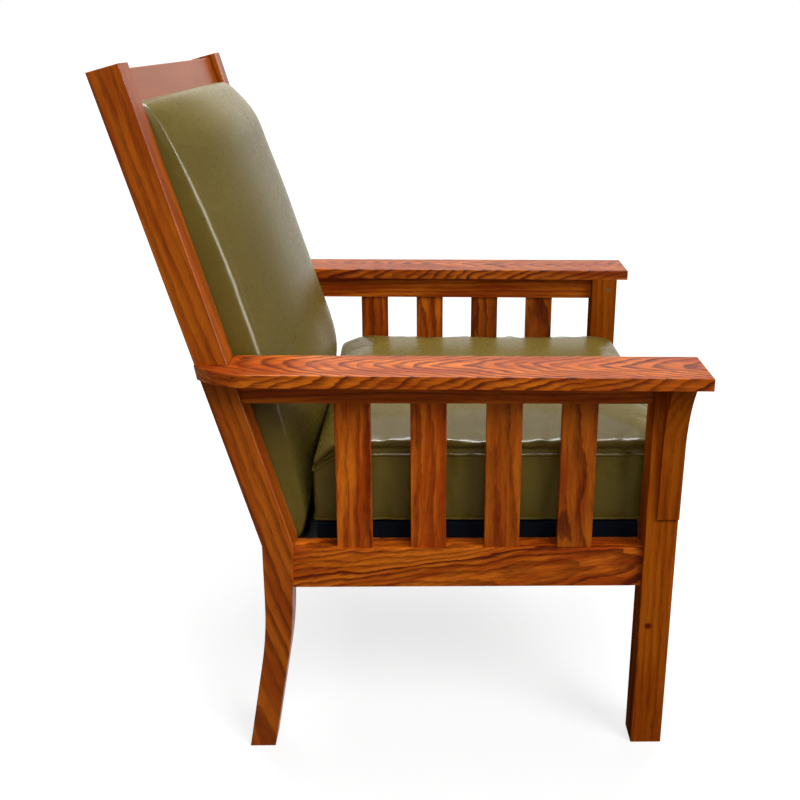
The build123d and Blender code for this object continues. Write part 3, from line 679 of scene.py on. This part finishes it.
def seat_place(point):
    """Where a point of the seat cushion's box lies in the chair, in millimetres"""
    point.z = seat_row_heights[round(point.z * seat_cells[2] / seat_size.z)]
    soft = rounded(point, seat_size, seat_edge, seat_foot_edge)
    depth_share = soft.y / seat_size.y
    across = 2 * soft.x / seat_size.x - 1
    lift = soft.z / seat_size.z
    side = along(seat_side_table, depth_share)
    if depth_share > seat_rear_share:
        far = min(max((across - seat_spared_from) / (seat_spared_to - seat_spared_from), 0), 1)
        side += (1 - side) * seat_spared * far * far * (3 - 2 * far)
    height = (soft.z * side
              + seat_crown * lift * along(seat_crown_table, depth_share)
              * max(0, 1 - abs(across) ** seat_fullness))
    wall = max(0, abs(across) * seat_wall_part - (seat_wall_part - 1))
    tuck = seat_groove * exp(-((soft.z - seat_groove_height) / seat_groove_width) ** 2)
    tuck += seat_bulge * (1 - sin(pi * min(lift / seat_bulge_top, 1)))
    around = Vector((soft.x, soft.y, 0))
    if soft.z > seat_groove_height:
        pucker = seat_pucker * noise.noise((around + Vector((0, 0, soft.z))) / seat_pucker_length)
        height += pucker * max(0, abs(across) * seat_pucker_part - (seat_pucker_part - 1))
    elif 0 < soft.z < seat_groove_height:
        tuck += seat_fold * max(0, noise.noise(around / seat_fold_width
                                               + Vector((0, 0, soft.z / seat_fold_length))))
    soft.x -= tuck * wall * (1 if across > 0 else -1)
    if depth_share < seat_front_share:
        soft.y += tuck
    return Vector((soft.x, soft.y, height)) + seat_corner


# %% [markdown]
# The rows of the box are noted before it is bent, while a row still lies at one height. The two seams,
# the roll above the upper one and the flat underside are held, and the leather between them swells.

# %% Sew and stuff the seat cushion
def sewn_piece(name, work):
    """A mesh object from a bmesh, smooth all over, in the scene"""
    bmesh.ops.recalc_face_normals(work, faces=work.faces)
    mesh = bpy.data.meshes.new(name)
    work.to_mesh(mesh)
    work.free()
    mesh.shade_smooth()
    piece = bpy.data.objects.new(name, mesh)
    piece.data.materials.append(leather)
    bpy.context.scene.collection.objects.link(piece)
    return piece


seat_work = celled_box(seat_size, seat_cells)
seat_step = seat_size.z / seat_cells[2]
seat_rows = {vert.index: vert.co.z / seat_step for vert in seat_work.verts}
seat_walls = {vert.index for vert in seat_work.verts if on_rim(vert.co, seat_size)}
for vert in seat_work.verts:
    vert.co = seat_place(vert.co) * MM
seat_piece = sewn_piece("seat_cushion_leather", seat_work)
seat_seam = [k for k in seat_walls if abs(seat_rows[k] - seat_seam_row) < touching]
seat_foot = [k for k in seat_walls if abs(seat_rows[k] - seat_foot_row) < touching]
seat_base = [k for k, row in seat_rows.items() if row < touching]
print(f"seat cushion: {len(seat_piece.data.vertices)} points, {len(seat_seam)} on its upper seam")

seat_roll = [k for k in seat_walls if seat_rows[k] > seat_seam_row - touching]
stuff(seat_piece, {*seat_seam, *seat_foot, *seat_base, *seat_roll}, pressure=4, slack=0.006,
      cap=6 * MM)

# %% [markdown]
# The back cushion leans on the back's slats. Its lower end is a wedge behind the seat cushion, its
# middle bulges forward over the seat, and its top rolls back to the crest rail. Its band is narrow, and
# its front panel turns over a soft edge into it. It is placed from the bend of the posts, where they
# stand furthest forward, and up along the rake from there.

# %% Back cushion
back_band_height = 41
back_cells = (72, 82, 6)
back_edge, back_foot_edge = 19, 4
back_pucker, back_pucker_length = 3.0, 22
back_pucker_place, back_pucker_width = 0.95, 0.05
back_recess = 11.6
back_fullness = 2.8
post_points = [vert.co / MM for vert in nodes["rear_post_right"].data.vertices]
bend_front = min(point.y for point in post_points)
bend_height = max(point.z for point in post_points if point.y < bend_front + touching)
back_up_table = [(0, -19), (300, 281), (580, 561), (600, 581), (616, 596.5), (628, 611),
                 (638, 624), (646, 633), (652, 637), (656, 636)]
back_band_table = [(0, 10), (19, 24), (40, 35), (69, 39), (119, 40), (201, 39), (321, 39),
                   (404, 41), (453, 41.5), (491, 39), (521, 36), (579, 31), (617, 25), (632, 20),
                   (642, 14), (650, 9), (656, 6)]
back_peak_table = [(0, 13), (19, 26), (40, 38), (69, 48), (119, 71), (149, 86), (182, 99),
                   (219, 103.5), (275, 102), (339, 99.5), (404, 97), (463, 95), (543, 90.5),
                   (579, 88.5), (600, 84), (616, 77), (628, 69), (638, 58), (646, 42), (652, 24),
                   (656, 10)]
back_low, back_high = (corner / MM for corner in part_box("back_cushion"))
back_size = Vector((back_high.x - back_low.x - 2 * side_room, back_up_table[-1][0],
                    back_band_height))


def back_place(point):
    """Where a point of the back cushion's box lies in the chair, in millimetres"""
    soft = rounded(point, back_size, back_edge, back_foot_edge)
    up = along(back_up_table, soft.y)
    across = 2 * soft.x / back_size.x - 1
    lift = soft.z / back_size.z
    band = along(back_band_table, soft.y)
    peak = along(back_peak_table, soft.y)
    fullness = max(0, 1 - abs(across) ** back_fullness)
    forward = lift * (band + (peak - band) * fullness) - back_recess
    near_edge = max(0, 1 - abs(abs(across) - back_pucker_place) / back_pucker_width) * lift
    forward += back_pucker * near_edge * noise.noise(point / back_pucker_length)
    return Vector((soft.x - back_size.x / 2, bend_front + up * sin(rake) - forward * cos(rake),
                   bend_height + up * cos(rake) + forward * sin(rake)))


# %% [markdown]
# The back cushion is sewn and stuffed in the same way. Its front seam is held, and so is its flat rear,
# which leans on the slats.

# %% Sew and stuff the back cushion
back_work = celled_box(back_size, back_cells)
back_walls = [vert for vert in back_work.verts if on_rim(vert.co, back_size)]
back_seam = [vert.index for vert in back_walls if vert.co.z > back_size.z - touching]
back_rear_seam = [vert.index for vert in back_walls if vert.co.z < touching]
back_rest = [vert.index for vert in back_work.verts if vert.co.z < touching]
for vert in back_work.verts:
    vert.co = back_place(vert.co) * MM
back_piece = sewn_piece("back_cushion_leather", back_work)
print(f"back cushion: {len(back_piece.data.vertices)} points, {len(back_seam)} on its front seam")

stuff(back_piece, {*back_seam, *back_rest}, pressure=2.5, slack=-0.01, cap=5 * MM,
      stiffness=4.0)

# %% [markdown]
# The welts go on last, along the seams as they lie after stuffing. A seam's points come in no order, so
# they are first put in the order in which they follow each other round the cushion.

# %% Welts
def walk(mesh, chosen):
    """The chosen points of a closed seam, in their order round it"""
    chosen = set(chosen)
    beside = {k: [] for k in chosen}
    for edge in mesh.edges:
        a, b = edge.vertices
        if a in chosen and b in chosen:
            beside[a].append(b)
            beside[b].append(a)
    path = [min(chosen)]
    while len(path) < len(chosen):
        onward = [k for k in beside[path[-1]] if k not in path[-2:] and k != path[0]]
        if not onward:
            break
        path.append(onward[0])
    return path


def welt(name, points, thickness):
    """A leather-covered cord sewn into a seam, as a closed smooth tube"""
    data = bpy.data.curves.new(name, "CURVE")
    data.dimensions = "3D"
    line = data.splines.new("NURBS")
    line.points.add(len(points) - 1)
    for stitch, place in zip(line.points, points):
        stitch.co = (*place, 1)
    line.order_u = 4
    line.use_cyclic_u = True
    line.resolution_u = 2
    data.bevel_depth = thickness / 2
    data.bevel_resolution = 3
    piece = bpy.data.objects.new(name, data)
    piece.data.materials.append(leather)
    bpy.context.scene.collection.objects.link(piece)
    return piece


seams = [
    ("seat_upper_welt", seat_piece, seat_seam, 5.0, "seat_cushion"),
    ("seat_lower_welt", seat_piece, seat_foot, 4.0, "seat_cushion"),
    ("back_rear_welt", back_piece, back_rear_seam, 4.0, "back_cushion"),
]
for name, cushion, seam, thickness, body in seams:
    path = walk(cushion.data, seam)
    piece = welt(name, [cushion.data.vertices[k].co.copy() for k in path], thickness * MM)
    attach(piece, body)
    print(f"{name}: {len(path)} of {len(seam)} points")

# %% [markdown]
# Each cushion gets one level of smoothing, rides on its own body and stands in for its plain CAD solid.

# %% Hand over the cushions
for cushion, body in ((seat_piece, "seat_cushion"), (back_piece, "back_cushion")):
    smooth = cushion.modifiers.new("smooth", "SUBSURF")
    smooth.levels = smooth.render_levels = 1
    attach(cushion, body)
    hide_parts(body)
    print(f"{cushion.name} stands in for {body}")

# %% [markdown]
# The chair was photographed in a room, then set on white. A wide soft sun stands on the camera's side,
# off towards the chair's front. It lights the near side at a slant, so that the slats shade the seat
# cushion behind them. One from the far side lights its top. A near lamp and a ceiling lamp add light
# that falls off across the chair. Two windows and a ceiling strip are seen by gloss alone: they give the
# leather its streaks. The sky is white where it is looked at, and dim as a light.

# %% Lamps and sky
white = (1, 1, 1, 1)
sky_shade = (0.15, 0.15, 0.15, 1)


def looked_at(tree):
    """One where the camera, gloss or glass looks, and nought for light thrown on other things"""
    path = tree.nodes.new("ShaderNodeLightPath")
    return sums(tree, "MAXIMUM", path.outputs["Is Camera Ray"],
                sums(tree, "MAXIMUM", path.outputs["Is Glossy Ray"],
                     path.outputs["Is Transmission Ray"]))


def hang_lamp(name, kind, energy, place, aim, gloss_only=False, **form):
    """Hangs a lamp and turns it to what it lights; the camera doesn't see it"""
    lamp_data = bpy.data.lights.new(name, kind)
    lamp_data.energy = energy
    for setting, value in form.items():
        setattr(lamp_data, setting, value)
    lamp = bpy.data.objects.new(name, lamp_data)
    lamp.location = place
    lamp.rotation_mode = "QUATERNION"
    lamp.rotation_quaternion = (Vector(aim) - Vector(place)).to_track_quat("-Z", "Y")
    lamp.visible_camera = False
    lamp.visible_diffuse = not gloss_only
    bpy.context.scene.collection.objects.link(lamp)


sky = bpy.data.worlds.new("plain sky")
sky.use_nodes = True
bpy.context.scene.world = sky
put(sky.node_tree, sky.node_tree.nodes["Background"].inputs["Color"],
    blended(sky.node_tree, looked_at(sky.node_tree), sky_shade, white))

hang_lamp("near side", "SUN", 2.0, (-1.0, -1.0, 1.27), (0, 0, 0), angle=radians(30))
hang_lamp("near lamp", "AREA", 7, (-1.6, -0.2, 1.6), (-0.4, 0, 0.5), shape="DISK", size=0.9)
hang_lamp("far side", "SUN", 2.0, (1.0, 0.0, 1.6), (0, 0, 0), angle=radians(40))
hang_lamp("ceiling", "AREA", 10, (0.15, 0.2, 1.95), (0.05, 0.1, 0.55), shape="DISK", size=0.8)
hang_lamp("window", "AREA", 560, (-0.9, -2.4, 1.35), (-0.29, 0.25, 0.75), gloss_only=True,
          shape="RECTANGLE", size=1.5, size_y=2.0)
hang_lamp("far window", "AREA", 5, (3.0, -0.1, 1.6), (0, -0.1, 0.6), gloss_only=True,
          shape="RECTANGLE", size=3.0, size_y=1.1)
hang_lamp("ceiling strip", "AREA", 400, (-0.27, -0.1, 2.6), (-0.27, -0.1, 0.48), gloss_only=True,
          shape="RECTANGLE", size=0.3, size_y=1.3)
print(f"{len(bpy.data.lights)} lamps")

# %% [markdown]
# The floor is white where the camera or gloss looks at it, and grey as a light, because a white floor
# would light the chair from below and wash out the deep colour of its sides. It still takes the chair's
# shadow.

# %% Floor
floor_shade, floor_seen_shade = (0.20, 0.20, 0.20, 1), (0.32, 0.32, 0.32, 1)
floor_dark, floor_glow = (0, 0, 0, 1), (0.76, 0.76, 0.76, 1)
floor_reach = 60
floor_work = bmesh.new()
bmesh.ops.create_grid(floor_work, x_segments=1, y_segments=1, size=floor_reach)
floor_mesh = bpy.data.meshes.new("floor")
floor_work.to_mesh(floor_mesh)
floor_work.free()
floor = bpy.data.objects.new("floor", floor_mesh)
bpy.context.scene.collection.objects.link(floor)
floor_finish, floor_tree, floor_shader, _ = new_finish("pale floor")
floor_seen = looked_at(floor_tree)
put(floor_tree, floor_shader.inputs["Base Color"],
    blended(floor_tree, floor_seen, floor_shade, floor_seen_shade))
put(floor_tree, floor_shader.inputs["Emission Color"],
    blended(floor_tree, floor_seen, floor_dark, floor_glow))
floor_shader.inputs["Emission Strength"].default_value = 1.0
floor_shader.inputs["Roughness"].default_value = 1.0
floor_shader.inputs["Specular IOR Level"].default_value = 0.0
floor_mesh.materials.append(floor_finish)
print(f"floor: {2 * max(vert.co.x for vert in floor_mesh.vertices):.0f} m square")
